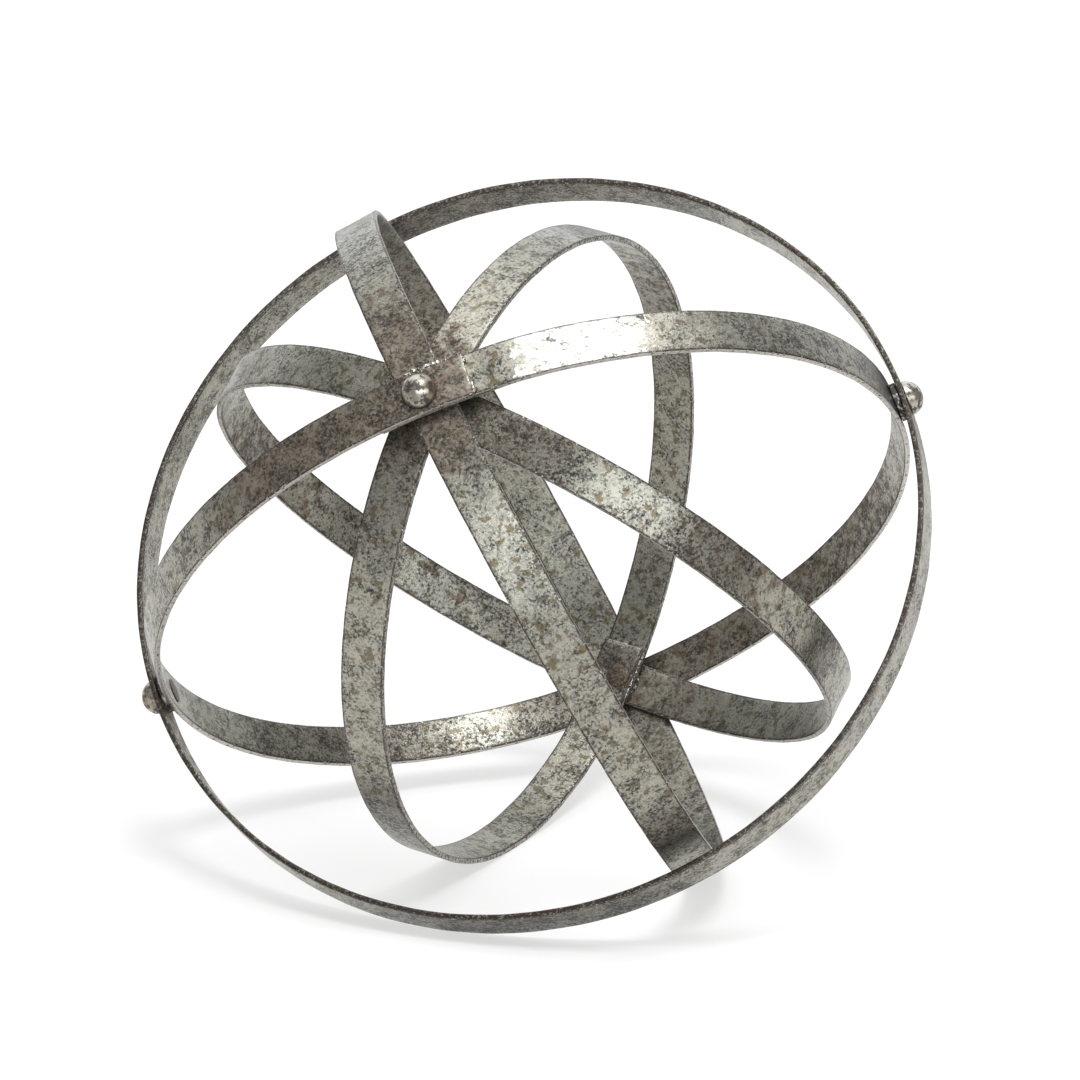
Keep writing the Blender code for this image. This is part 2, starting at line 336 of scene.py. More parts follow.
class Strap:
    """A bent strap, as a smooth map from the flat strap's own measures to places in the frame.

    along runs from one end to the other, or right round a closed band. across is measured from the
    middle line, and depth inwards from the outer face.
    """

    def __init__(self, node_name, axes):
        self.name = node_name
        corners, self.closed = corner_lines(node_name, axes[0])
        self.corners = corners
        centre = sum(corners) / 4
        ring = np.vstack([centre, centre[:1]]) if self.closed else centre
        steps = np.linalg.norm(np.diff(ring, axis=0), axis=1)
        self.lengths = np.concatenate([[0.0], np.cumsum(steps)])
        self.length = float(self.lengths[-1])
        self.width = float(np.linalg.norm(corners[0] - corners[1], axis=1).mean())
        self.thickness = float(np.linalg.norm(corners[0] - corners[3], axis=1).mean())
        self.holes = [hole for axis in axes for hole in self.find_holes(axis)]
        self.holes.sort(key=lambda hole: hole[0])
        self.bore = self.find_bore(axes[0])

    def rail(self, line, place):
        """Points at fractional places along a corner line, on a smooth curve through it."""
        if not self.closed:
            line = np.vstack([2 * line[0] - line[1], line, 2 * line[-1] - line[-2]])
            place = place + 1
        step = np.floor(place).astype(int)
        part = (place - step)[:, None]
        if self.closed:
            near = [line[(step + offset) % len(line)] for offset in (-1, 0, 1, 2)]
        else:
            last = len(line) - 1
            near = [line[np.clip(step + offset, 0, last)] for offset in (-1, 0, 1, 2)]
        before, start, end, after = near
        first = (end - before) * part
        second = (2 * before - 5 * start + 4 * end - after) * part**2
        third = (3 * start - before - 3 * end + after) * part**3
        return start + (first + second + third) / 2

    def frame_at(self, along):
        """The four corners of the strap's section at distances along it."""
        along = along % self.length if self.closed else along
        place = np.interp(along, self.lengths, np.arange(len(self.lengths)))
        return [self.rail(line, place) for line in self.corners]

    def at(self, along, across, depth):
        """Places, from the hub, of points of the flat strap."""
        left, right, right_in, left_in = self.frame_at(along)
        share = (across / self.width + 0.5)[:, None]
        inward = (depth / self.thickness)[:, None]
        outer = left + (right - left) * share
        inner = left_in + (right_in - left_in) * share
        return outer + (inner - outer) * inward

    def directions(self, along):
        """Unit vectors outwards from the strap and across it."""
        left, right, _, left_in = self.frame_at(along)
        outward, across = left - left_in, right - left
        outward /= np.linalg.norm(outward, axis=1)[:, None]
        across /= np.linalg.norm(across, axis=1)[:, None]
        return outward, across

    def find_holes(self, axis):
        """(along, across) of each place where an axis passes through the strap."""
        along = np.arange(0.0, self.length, HOLE_STEP)
        flat = np.zeros(len(along))
        points = self.at(along, flat, flat)
        axis = np.array(axis)
        apart = points - (points @ axis)[:, None] * axis
        gap = np.linalg.norm(apart, axis=1)
        lowest = (gap <= np.roll(gap, 1)) & (gap < np.roll(gap, -1)) & (gap < HOLE_REACH)
        across = self.directions(along)[1]
        return [
            (float(along[index]), float(-apart[index] @ across[index]))
            for index in np.flatnonzero(lowest)
        ]

    def find_bore(self, axis):
        """Radius of the rivet holes: no other part of the strap comes as near to the axis."""
        vertices = frame["nodes"][self.name].data.vertices
        return min((vertex.co - HUB).cross(axis).length for vertex in vertices)


# --- Meshes --------------------------------------------------------------------------------------


class FlatMesh:
    """Collects faces of a flat strap, with one vertex for each place."""

    def __init__(self, strap):
        self.strap = strap
        self.numbers = {}
        self.faces = []

    def vertex(self, along, across, depth):
        """The number of the vertex at a place, which it makes if there is none yet."""
        if self.strap.closed and along > self.strap.length - 1e-7:
            along -= self.strap.length
        key = (round(along, 7), round(across, 7), round(depth, 7))
        return self.numbers.setdefault(key, len(self.numbers))

    def face(self, *corners):
        """A face between places, without those that coincide."""
        numbers = list(dict.fromkeys(self.vertex(*corner) for corner in corners))
        if len(numbers) > 2:
            self.faces.append(numbers)

    def ladder(self, first, second, closed=False):
        """Faces between two rows of points of equal length."""
        pairs = list(zip(first, second))
        if closed:
            pairs.append(pairs[0])
        for (a, b), (d, c) in zip(pairs, pairs[1:]):
            self.face(a, b, c, d)

    def flat_places(self):
        """along, across and depth of every vertex, in the vertices' order."""
        return np.array(list(self.numbers)).T


def face_places(strap):
    """Places across the strap's flat face, between its rounded edges."""
    half = strap.width / 2 - EDGE_RADIUS
    return [half * (2 * step / FACE_CELLS - 1) for step in range(FACE_CELLS + 1)]


def side_depths(strap):
    """Depths down the strap's cut side, between its rounded edges."""
    top, bottom = EDGE_RADIUS, strap.thickness - EDGE_RADIUS
    return [top + (bottom - top) * step / SIDE_CELLS for step in range(SIDE_CELLS + 1)]


def section(strap, radius):
    """(across, depth) round the strap's section, its corners rounded to the radius.

    A radius under EDGE_RADIUS gives the smaller sections that round off the strap's cut end.
    """
    flat = face_places(strap)
    half, top = flat[-1], EDGE_RADIUS
    bottom = strap.thickness - EDGE_RADIUS
    turns = [math.pi / 2 * step / EDGE_STEPS for step in range(1, EDGE_STEPS)]
    upper = [(half + radius * math.sin(t), top - radius * math.cos(t)) for t in turns]
    edge = upper + [(half + radius, depth) for depth in side_depths(strap)]
    edge += [(half + radius * math.cos(t), bottom + radius * math.sin(t)) for t in turns]
    loop = [(across, top - radius) for across in flat] + edge
    loop += [(across, bottom + radius) for across in reversed(flat)]
    return loop + [(-across, depth) for across, depth in reversed(edge)]


def stations(strap):
    """Places along the strap, and which of them start the patches round its holes."""
    first, last = (0.0, strap.length) if strap.closed else (EDGE_RADIUS, strap.length - EDGE_RADIUS)
    places, patches = [], []
    reached = first
    for centre, _ in [*strap.holes, (last + PATCH_HALF, 0.0)]:  # the last entry is the strap's end
        stretch = centre - PATCH_HALF - reached
        count = max(1, round(stretch / CELL))
        places += [reached + stretch * step / count for step in range(count)]
        if centre > last:
            break
        patches.append(len(places))
        places += [centre - PATCH_HALF + step * CELL for step in range(PATCH_CELLS)]
        reached = centre + PATCH_HALF
    return places + [last], patches


def add_patch(flat, places, hole, depths):
    """A face's cells round a rivet hole, spread from the hole's rim to the cells beside them.

    depths are the face's own and, further in, where the chamfer ends. The ring there is returned.
    """
    centre, offset = hole
    across = face_places(flat.strap)
    border = [(place, across[0]) for place in places[:-1]]
    border += [(places[-1], step) for step in across[:-1]]
    border += [(place, across[-1]) for place in reversed(places[1:])]
    border += [(places[0], step) for step in reversed(across[1:])]
    turns = [math.atan2(step - offset, place - centre) for place, step in border]

    def circle(radius):
        return [(centre + radius * math.cos(t), offset + radius * math.sin(t)) for t in turns]

    rim = circle(flat.strap.bore + BORE_CHAMFER)
    rings = []
    for share in PATCH_RINGS:
        ring = []
        for (place, step), (near_place, near_step) in zip(border, rim):
            place = near_place + (place - near_place) * share
            ring.append((place, near_step + (step - near_step) * share, depths[0]))
        rings.append(ring)
    rings.append([(*point, depths[1]) for point in circle(flat.strap.bore)])
    for wide, narrow in zip(rings, rings[1:]):
        flat.ladder(wide, narrow, closed=True)
    return rings[-1]


def add_cells(flat, places, patches):
    """The strap's faces between its stations, with a patch round each hole."""
    strap = flat.strap
    loop = section(strap, EDGE_RADIUS)
    back = FACE_CELLS + 2 * EDGE_STEPS + SIDE_CELLS  # where the section's inner face starts
    covered = {index + step for index in patches for step in range(PATCH_CELLS)}
    for index, (here, there) in enumerate(zip(places, places[1:])):
        for corner in range(len(loop)):
            on_face = corner < FACE_CELLS or back <= corner < back + FACE_CELLS
            if index in covered and on_face:
                continue
            first, second = loop[corner], loop[(corner + 1) % len(loop)]
            flat.face((here, *first), (here, *second), (there, *second), (there, *first))
    for index, hole in zip(patches, strap.holes):
        span = places[index : index + PATCH_CELLS + 1]
        outer = add_patch(flat, span, hole, (0.0, BORE_CHAMFER))
        depths = (strap.thickness, strap.thickness - BORE_CHAMFER)
        flat.ladder(outer, add_patch(flat, span, hole, depths), closed=True)


def add_end(flat, end, inward):
    """Rounds off and closes a cut end. inward is +1 at the strap's start and -1 at its finish."""
    strap = flat.strap
    rows = []
    for step in range(EDGE_STEPS + 1):
        turn = math.pi / 2 * step / EDGE_STEPS
        place = end + inward * EDGE_RADIUS * (1 - math.sin(turn))
        rows.append([(place, *point) for point in section(strap, EDGE_RADIUS * math.cos(turn))])
    for wide, narrow in zip(rows, rows[1:]):
        flat.ladder(wide, narrow, closed=True)
    depths = side_depths(strap)
    for upper, lower in zip(depths, depths[1:]):
        row = [(end, across, upper) for across in face_places(strap)]
        flat.ladder(row, [(end, across, lower) for across in face_places(strap)])


def unevenness(strap, along, across):
    """How far each point moves outwards and sideways, as strap bent by hand does."""
    seed = Vector((FINISHES[strap.name].seed, 0.0, 0.0))
    middles = strap.at(along, across, np.full(len(along), strap.thickness / 2))
    bow = [noise.noise(Vector(point) / BOW_LENGTH + seed) for point in middles]
    ragged = [noise.noise(Vector(point) / RAGGED_LENGTH - seed) for point in middles]
    calm = np.ones(len(along))
    for place, _ in strap.holes:
        away = np.abs(along - place)
        if strap.closed:
            away = np.minimum(away, strap.length - away)
        calm = np.minimum(calm, np.interp(away, CALM_SPAN, (0.0, 1.0)))
    edge = np.clip(np.abs(across) / (strap.width / 2), 0.0, 1.0) ** 4 * np.sign(across)
    return BOW_HEIGHT * (np.array(bow) - BOW_INWARD) * calm, RAGGED_HEIGHT * np.array(ragged) * edge


def stain(points, axis, zones):
    """From 0 to 1, how strongly zones of a band stain each of its points."""
    start = np.array(axis)
    normal = np.linalg.svd(points - points.mean(axis=0), full_matrices=False)[2][-1]
    ahead = np.cross(normal, start)
    if ahead[0] < 0:
        ahead = -ahead
    angle = np.degrees(np.arctan2(points @ ahead, points @ start))
    amount = np.zeros(len(points))
    for zone in zones:
        middle, half = (zone.start + zone.finish) / 2, (zone.finish - zone.start) / 2
        turned = (angle - middle + 180) % 360 - 180
        fade = np.where(turned < 0, zone.fade_before, zone.fade_after)
        share = np.clip(1 - (np.abs(turned) - half) / fade, 0.0, 1.0)
        amount = np.maximum(amount, zone.strength * share)
    return amount


def new_object(name, mesh, material):
    """A smooth-shaded object in the scene."""
    obj = bpy.data.objects.new(name, mesh)
    bpy.context.scene.collection.objects.link(obj)
    mesh.materials.append(material)
    mesh.shade_smooth()
    return obj


def add_attribute(mesh, name, values):
    """A number for each vertex, for the materials."""
    attribute = mesh.attributes.new(name, "FLOAT", "POINT")
    attribute.data.foreach_set("value", np.asarray(values, np.float32))


def place_piece(obj, node_name):
    """The piece stands in for a CAD node, whose part it hides, and rides on its body."""
    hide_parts(node_name)
    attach(obj, body_of(node_name))


def band_mesh(strap, axis):
    """The strap laid out flat, closed, and bent round. Its stains start from the axis."""
    flat = FlatMesh(strap)
    add_cells(flat, *stations(strap))
    if not strap.closed:
        add_end(flat, 0.0, 1)
        add_end(flat, strap.length, -1)
    along, across, depth = flat.flat_places()
    points = strap.at(along, across, depth)
    finish = FINISHES[strap.name]
    stains = {name: stain(points, axis, getattr(finish, name)) for name in STAINS}
    outward, sideways = strap.directions(along)
    bow, ragged = unevenness(strap, along, across)
    points = points + outward * bow[:, None] + sideways * ragged[:, None]
    mesh = bpy.data.meshes.new(strap.name + "_strap")
    mesh.from_pydata([Vector(point) + HUB for point in points], [], flat.faces)
    shape = bmesh.new()
    shape.from_mesh(mesh)
    bmesh.ops.recalc_face_normals(shape, faces=shape.faces)
    shape.to_mesh(mesh)
    shape.free()
    add_attribute(mesh, "rim", strap.width / 2 - np.abs(across))
    for name, values in stains.items():
        add_attribute(mesh, name, values)
    return mesh


def build_band(node_name, axes, bead):
    """The visible band for a CAD band, with its weld beads. The first axis is its own pivot's."""
    strap = Strap(node_name, axes)
    obj = new_object(node_name + "_strap", band_mesh(strap, axes[0]), strap_metal(node_name))
    place_piece(obj, node_name)
    for number, weld in enumerate(WELDS.get(node_name, ()), 1):
        build_weld(strap, number, weld, bead)


# --- Materials -----------------------------------------------------------------------------------


def add_node(tree, kind, inputs, **settings):
    """A shader node. An input is a number, a colour or another node's output."""
    node = tree.nodes.new(kind)
    for name, value in settings.items():
        setattr(node, name, value)
    for key, value in inputs.items():
        if isinstance(value, bpy.types.NodeSocket):
            tree.links.new(value, node.inputs[key])
        else:
            node.inputs[key].default_value = value
    return node


def speckle(tree, where, size, detail=2.0, roughness=0.5, distortion=0.0):
    """Noise whose features are about the given size across."""
    inputs = {
        "Vector": where,
        "Scale": 1 / size,
        "Detail": detail,
        "Roughness": roughness,
        "Distortion": distortion,
    }
    return add_node(tree, "ShaderNodeTexNoise", inputs).outputs["Fac"]


def ramp(tree, value, low, high, start=0.0, end=1.0):
    """Turns low..high into start..end, smoothly."""
    inputs = {"Value": value, "From Min": low, "From Max": high, "To Min": start, "To Max": end}
    node = add_node(tree, "ShaderNodeMapRange", inputs, interpolation_type="SMOOTHSTEP")
    return node.outputs["Result"]


def calculate(tree, operation, first, second):
    """A sum, product or other result of two numbers."""
    node = add_node(tree, "ShaderNodeMath", {0: first, 1: second}, operation=operation)
    return node.outputs[0]


def blend(tree, share, first, second):
    """Mixes two colours."""
    node = add_node(tree, "ShaderNodeMix", {0: share}, data_type="RGBA")
    for number, value in ((6, first), (7, second)):
        if isinstance(value, bpy.types.NodeSocket):
            tree.links.new(value, node.inputs[number])
        else:
            node.inputs[number].default_value = (*value, 1.0)
    return node.outputs[2]


def blend_number(tree, share, first, second):
    """Mixes two numbers."""
    node = add_node(tree, "ShaderNodeMix", {0: share, 2: first, 3: second}, data_type="FLOAT")
    return node.outputs[0]


def attribute(tree, name):
    """A number that the mesh holds for each vertex."""
    node = tree.nodes.new("ShaderNodeAttribute")
    node.attribute_name = name
    return node.outputs["Fac"]


def object_place(tree, seed):
    """Where the surface is, moved to the material's own part of the noise."""
    place = add_node(tree, "ShaderNodeTexCoord", {}).outputs["Object"]
    inputs = {0: place, 1: (seed, seed * 0.7, -seed)}
    return add_node(tree, "ShaderNodeVectorMath", inputs, operation="ADD").outputs[0]


def new_material(name):
    """A material, its node tree and its shader."""
    material = bpy.data.materials.new(name)
    material.use_nodes = True
    tree = material.node_tree
    return material, tree, tree.nodes["Principled BSDF"]


def add_bump(tree, shader, height, strength, distance):
    """Roughens the shader's surface by a height from 0 to 1."""
    inputs = {"Height": height, "Strength": strength, "Distance": distance}
    bump = add_node(tree, "ShaderNodeBump", inputs)
    tree.links.new(bump.outputs["Normal"], shader.inputs["Normal"])


# What the zinc's colour and its surface share: plain noises, and the marks made from them.
Noises = namedtuple("Noises", "cloud patch clump crumb crystal grain")
Marks = namedtuple("Marks", "dense fleck pit blotch outline brown grime worn")


def zinc_noises(tree, where):
    """The zinc's noises, from the coarsest to the finest."""
    return Noises(
        cloud=speckle(tree, where, 7 * MM, detail=3),
        patch=speckle(tree, where, 2.8 * MM, detail=4, roughness=0.62),
        clump=speckle(tree, where, 1.5 * MM, detail=3, roughness=0.6),
        crumb=speckle(tree, where, 0.9 * MM, detail=4, roughness=0.75),
        crystal=crystals(tree, where, 0.55 * MM),
        grain=speckle(tree, where, 0.35 * MM, detail=2),
    )


def zinc_marks(tree, noises):
    """Where the zinc is flecked, pitted, blotched, stained and worn, each from 0 to 1. The grime stands
    partly for painted shade, and the worn zinc partly for a painted highlight.

    dense is the noise whose crests are the flecks and pits, raised where grime and painted shade crowd
    them.
    """
    tarnish, grime, worn = (attribute(tree, name) for name in STAINS)
    density = ramp(tree, noises.cloud, 0.3, 0.7, -0.08, 0.07)
    density = calculate(tree, "ADD", density, ramp(tree, noises.clump, 0.3, 0.7, -0.06, 0.06))
    density = calculate(tree, "ADD", density, calculate(tree, "MULTIPLY", grime, 0.09))
    speckles = blend_number(tree, 0.22, noises.crumb, noises.crystal)
    dense = calculate(tree, "ADD", speckles, density)
    blotch = ramp(tree, noises.patch, 0.57, 0.61)
    ragged = ramp(tree, noises.patch, 0.25, 0.75, -0.4, 0.4)
    torn = ramp(tree, noises.patch, 0.3, 0.7, -0.4, 0.4)
    return Marks(
        dense=dense,
        fleck=ramp(tree, dense, 0.55, 0.62),
        pit=ramp(tree, dense, 0.66, 0.72),
        blotch=blotch,
        outline=calculate(tree, "SUBTRACT", ramp(tree, noises.patch, 0.545, 0.58), blotch),
        brown=ramp(tree, calculate(tree, "ADD", tarnish, ragged), 0.30, 0.85),
        grime=grime,
        worn=ramp(tree, calculate(tree, "ADD", worn, torn), 0.55, 0.68),
    )


def cover(tree, colour, mark, strength, paint):
    """Paints over a colour where a mark is, up to a strength."""
    return blend(tree, calculate(tree, "MULTIPLY", mark, strength), colour, paint)


def zinc_colour(tree, noises, marks):
    """Grey crystals under olive blotches, grime that is partly painted shade, brown tarnish, flecks and
    pits, and rubbed zinc painted bright, partly as a painted highlight.
    """
    light = calculate(tree, "MULTIPLY", noises.crystal, 0.6)
    light = calculate(tree, "ADD", light, noises.cloud)
    colour = blend(tree, ramp(tree, light, 0.4, 1.2), ZINC_LIGHT, ZINC_GREY)
    colour = cover(tree, colour, marks.blotch, 0.8, OLIVE)
    # Darkens the zinc for grime and, in the same zones, as painted shade.
    colour = cover(tree, colour, marks.grime, 0.7, GRIME_AND_SHADE)
    stained = blend(tree, ramp(tree, noises.clump, 0.42, 0.58), RUST_BROWN, DRAB)
    stained = blend(tree, ramp(tree, marks.dense, 0.38, 0.62), stained, UMBER)
    colour = cover(tree, colour, marks.brown, 0.78, stained)
    dirt_and_shade = calculate(tree, "MAXIMUM", marks.brown, marks.grime)
    soot = blend(tree, dirt_and_shade, SLATE, UMBER)
    colour = cover(tree, colour, marks.fleck, ramp(tree, marks.brown, 0.0, 1.0, 0.75, 0.45), soot)
    colour = cover(tree, colour, marks.outline, 0.45, soot)
    colour = cover(tree, colour, marks.pit, 0.8, BLACK_PIT)
    # Rubbed zinc painted bright, partly a painted highlight where the key light falls.
    return cover(tree, colour, marks.worn, 0.9, WORN_HIGHLIGHT_ZINC)


def edge_colour(tree, colour, crumb, bare):
    """The cut side is gritty, between two dark corners that are chipped bright."""
    rim = attribute(tree, "rim")
    grit = ramp(tree, crumb, 0.40 + 0.14 * bare, 0.48 + 0.14 * bare)
    metal = tuple(Vector(ZINC_GREY).lerp(Vector(BARE_STEEL), bare))
    side = blend(tree, grit, metal, UMBER)
    colour = blend(tree, ramp(tree, rim, 0.02 * MM, 0.10 * MM, 0.9, 0.0), colour, side)
    inner = ramp(tree, rim, 0.04 * MM, 0.12 * MM)
    corner = calculate(tree, "MULTIPLY", inner, ramp(tree, rim, 0.35 * MM, 0.75 * MM, 1.0, 0.0))
    colour = cover(tree, colour, corner, 0.88, UMBER)
    chipped = calculate(tree, "MULTIPLY", corner, ramp(tree, crumb, 0.56, 0.62))
    return cover(tree, colour, chipped, 0.7, CHIPPED_STEEL)


def zinc_surface(tree, shader, noises, marks):
    """Duller and less metallic where it is flecked or brown, and finely pitted all over."""
    dull = calculate(tree, "MULTIPLY", marks.fleck, 0.6)
    dull = calculate(tree, "MAXIMUM", dull, marks.brown)
    dull = calculate(tree, "SUBTRACT", dull, marks.worn)
    rough = blend_number(tree, dull, ramp(tree, noises.grain, 0.3, 0.7, 0.25, 0.36), 0.48)
    tree.links.new(rough, shader.inputs["Roughness"])
    tree.links.new(ramp(tree, dull, 0.0, 1.0, 1.0, 0.8), shader.inputs["Metallic"])
    hollow = calculate(tree, "SUBTRACT", 1.0, noises.crumb)
    add_bump(tree, shader, blend_number(tree, 0.4, hollow, noises.grain), 0.8, 0.16 * MM)


def strap_metal(node_name):
    """A band's antiqued zinc."""
    finish = FINISHES[node_name]
    material, tree, shader = new_material("zinc_" + node_name)
    noises = zinc_noises(tree, object_place(tree, finish.seed))
    marks = zinc_marks(tree, noises)
    colour = zinc_colour(tree, noises, marks)
    colour = edge_colour(tree, colour, noises.crumb, finish.bare)
    tree.links.new(colour, shader.inputs["Base Color"])
    zinc_surface(tree, shader, noises, marks)
    return material


def crystals(tree, where, size):
    """A random number for each crystal of the zinc, the crystals' borders made irregular."""
    inputs = {"Vector": where, "Scale": 2 / size, "Detail": 2.0}
    wander = add_node(tree, "ShaderNodeTexNoise", inputs).outputs["Color"]
    inputs = {0: wander, 1: (size, size, size), 2: where}
    moved = add_node(tree, "ShaderNodeVectorMath", inputs, operation="MULTIPLY_ADD").outputs[0]
    cells = add_node(tree, "ShaderNodeTexVoronoi", {"Vector": moved, "Scale": 1 / size})
    split = add_node(tree, "ShaderNodeSeparateColor", {"Color": cells.outputs["Color"]})
    return split.outputs["Red"]


def rivet_metal():
    """Pewter-coloured rivet heads, spotted where the dark finish is left, with stained tails."""
    material, tree, shader = new_material("rivet_steel_spotted")
    where = object_place(tree, 8.9)
    spot = ramp(tree, speckle(tree, where, 1.9 * MM, detail=4, roughness=0.65), 0.52, 0.57)
    film = ramp(tree, speckle(tree, where, 4.0 * MM, detail=2), 0.35, 0.65)
    crumb = speckle(tree, where, 0.7 * MM, detail=3, roughness=0.7)
    grain = speckle(tree, where, 0.35 * MM, detail=2)
    tarnish = attribute(tree, "tarnish")
    colour = blend(tree, film, PEWTER, PEWTER_DARK)
    colour = cover(tree, colour, spot, 0.85, RIVET_SPOT)
    stained = blend(tree, ramp(tree, crumb, 0.34, 0.56), DRAB, UMBER)
    # The tarnish attribute also darkens the head's foot, as painted shade.
    colour = cover(tree, colour, tarnish, 0.85, stained)
    tree.links.new(colour, shader.inputs["Base Color"])
    dull = calculate(tree, "MAXIMUM", spot, tarnish)
    rough = blend_number(tree, dull, ramp(tree, grain, 0.3, 0.7, 0.19, 0.28), 0.48)
    tree.links.new(rough, shader.inputs["Roughness"])
    shader.inputs["Metallic"].default_value = 0.95
    height = blend_number(tree, 0.5, grain, calculate(tree, "SUBTRACT", 1.0, crumb))
    add_bump(tree, shader, height, 0.5, 0.07 * MM)
    return material


def washer_metal():
    """Dark oxidised steel, rubbed bright in places."""
    material, tree, shader = new_material("washer_steel_dark")
    where = object_place(tree, 13.3)
    rubbed = ramp(tree, speckle(tree, where, 1.1 * MM, detail=3), 0.52, 0.62)
    grain = speckle(tree, where, 0.3 * MM, detail=2)
    colour = blend(tree, grain, OXIDE_DARK, OXIDE_LIGHT)
    colour = cover(tree, colour, rubbed, 0.75, RUBBED_STEEL)
    tree.links.new(colour, shader.inputs["Base Color"])
    tree.links.new(blend_number(tree, rubbed, 0.5, 0.25), shader.inputs["Roughness"])
    shader.inputs["Metallic"].default_value = 0.85
    add_bump(tree, shader, grain, 0.3, 0.05 * MM)
    return material


def weld_metal():
    """Weld beads: bright lumps of steel with soot in their hollows."""
    material, tree, shader = new_material("weld_bead_metal")
    where = object_place(tree, 23.9)
    soot = ramp(tree, speckle(tree, where, 0.6 * MM, detail=3, distortion=0.6), 0.48, 0.58)
    grain = speckle(tree, where, 0.25 * MM, detail=2)
    colour = blend(tree, soot, WELD_BRIGHT, WELD_SOOT)
    tree.links.new(colour, shader.inputs["Base Color"])
    tree.links.new(blend_number(tree, soot, 0.24, 0.6), shader.inputs["Roughness"])
    shader.inputs["Metallic"].default_value = 0.9
    add_bump(tree, shader, grain, 0.4, 0.06 * MM)
    return material


# --- Rivets, washers and welds -------------------------------------------------------------------


def refined_mesh(node_name, edge_width, levels):
    """The CAD node's mesh with its edges eased and its round faces subdivided smoothly."""
    shape = welded(node_name)
    # Angles in radians: pairs of triangles that lie flat, whatever their shape.
    bmesh.ops.join_triangles(
        shape, faces=shape.faces, angle_face_threshold=0.02, angle_shape_threshold=3.1
    )
    sharp = [edge for edge in shape.edges if edge.calc_face_angle(0.0) > SHARP_ANGLE]
    bmesh.ops.bevel(
        shape,
        geom=sharp,
        offset=edge_width,
        offset_type="OFFSET",
        segments=2,
        profile=0.5,
        affect="EDGES",
        clamp_overlap=True,
    )
    mesh = bpy.data.meshes.new(node_name + "_fine")
    shape.to_mesh(mesh)
    shape.free()
    holder = bpy.data.objects.new("holder", mesh)
    bpy.context.scene.collection.objects.link(holder)
    smooth = holder.modifiers.new("round", "SUBSURF")
    smooth.levels = smooth.render_levels = levels
    graph = bpy.context.evaluated_depsgraph_get()
    fine = bpy.data.meshes.new_from_object(holder.evaluated_get(graph))
    bpy.data.objects.remove(holder)
    bpy.data.meshes.remove(mesh)
    fine.materials.clear()
    keep_size(fine, frame["nodes"][node_name].data)
    return fine


def turned_places(mesh, axis):
    """Each vertex of a turned piece as (height along its axis, offset from that axis)."""
    points = np.array([vertex.co for vertex in mesh.vertices]) - np.array(HUB)
    heights = points @ axis
    return heights, points - heights[:, None] * axis


def keep_size(fine, original):
    """Stretches a turned piece back to its original height and radius, which smoothing shrank."""
    middle = sum((vertex.co for vertex in original.vertices), Vector()) / len(original.vertices)
    axis = np.array((middle - HUB).normalized())
    heights, offsets = turned_places(fine, axis)
    true_heights, true_offsets = turned_places(original, axis)
    widen = np.linalg.norm(true_offsets, axis=1).max() / np.linalg.norm(offsets, axis=1).max()
    heights = np.interp(
        heights, (heights.min(), heights.max()), (true_heights.min(), true_heights.max())
    )
    for vertex, height, offset in zip(fine.vertices, heights, offsets):
        vertex.co = HUB + Vector(height * axis + widen * offset)


def hammer(mesh, seed):
    """Dents a mesh slightly, and nearly always inwards."""
    shift = Vector((seed, seed, 0.0))
    normals = [vertex.normal.copy() for vertex in mesh.vertices]
    for vertex, normal in zip(mesh.vertices, normals):
        dent = noise.noise(vertex.co / DENT_LENGTH + shift) - DENT_INWARD
        vertex.co += normal * DENT_HEIGHT * dent


def tarnish_tail_shade_foot(mesh):
    """Marks a rivet as tarnished below its head, and darkens the head's foot partly, as painted shade
    where the head meets the strap.
    """
    points = np.array([vertex.co for vertex in mesh.vertices]) - np.array(HUB)
    middle = points.mean(axis=0)
    heights = points @ (middle / np.linalg.norm(middle))
    depths = heights.max() - heights
    add_attribute(mesh, "tarnish", np.interp(depths, HEAD_FOOT, (0.0, 1.0)))


def rivet_mesh(node_name, seed):
    """A rivet with a hammered surface and a stained tail."""
    mesh = refined_mesh(node_name, 0.18 * MM, levels=2)
    hammer(mesh, seed)
    tarnish_tail_shade_foot(mesh)
    return mesh


def build_hardware():
    """Every rivet and washer, each refined from its own CAD node."""
    rivet, washer = rivet_metal(), washer_metal()
    for number, node_name in enumerate(sorted(frame["nodes"])):
        if node_name.startswith("rivet"):
            obj = new_object(node_name + "_fine", rivet_mesh(node_name, number * 3.7), rivet)
            place_piece(obj, node_name)
        elif node_name.startswith("washer"):
            mesh = refined_mesh(node_name, 0.12 * MM, levels=1)
            place_piece(new_object(node_name + "_fine", mesh, washer), node_name)


def weld_places(strap, weld):
    """Points along a weld bead, from the hub, at even steps."""
    starts, ends = strap.at(np.array([0.0, strap.length]), np.zeros(2), np.zeros(2))
    at_finish = (np.linalg.norm(ends) > np.linalg.norm(starts)) == weld.outside
    stops = np.array(weld.path)
    along = strap.length - stops[:, 0] if at_finish else stops[:, 0]
    upward = np.sign(strap.directions(along[:1])[1][0, 2])
    across = upward * stops[:, 1] * strap.width / 2
    count = max(4, round(np.hypot(np.ptp(along), np.ptp(across)) / WELD_STEP))
    share = np.linspace(0.0, 1.0, count)
    along = np.interp(share, (0.0, 1.0), along)
    across = np.interp(share, (0.0, 1.0), across)
    depth = np.full(count, weld.depth * strap.thickness)
    return strap.at(np.clip(along, 0.0, strap.length), across, depth)


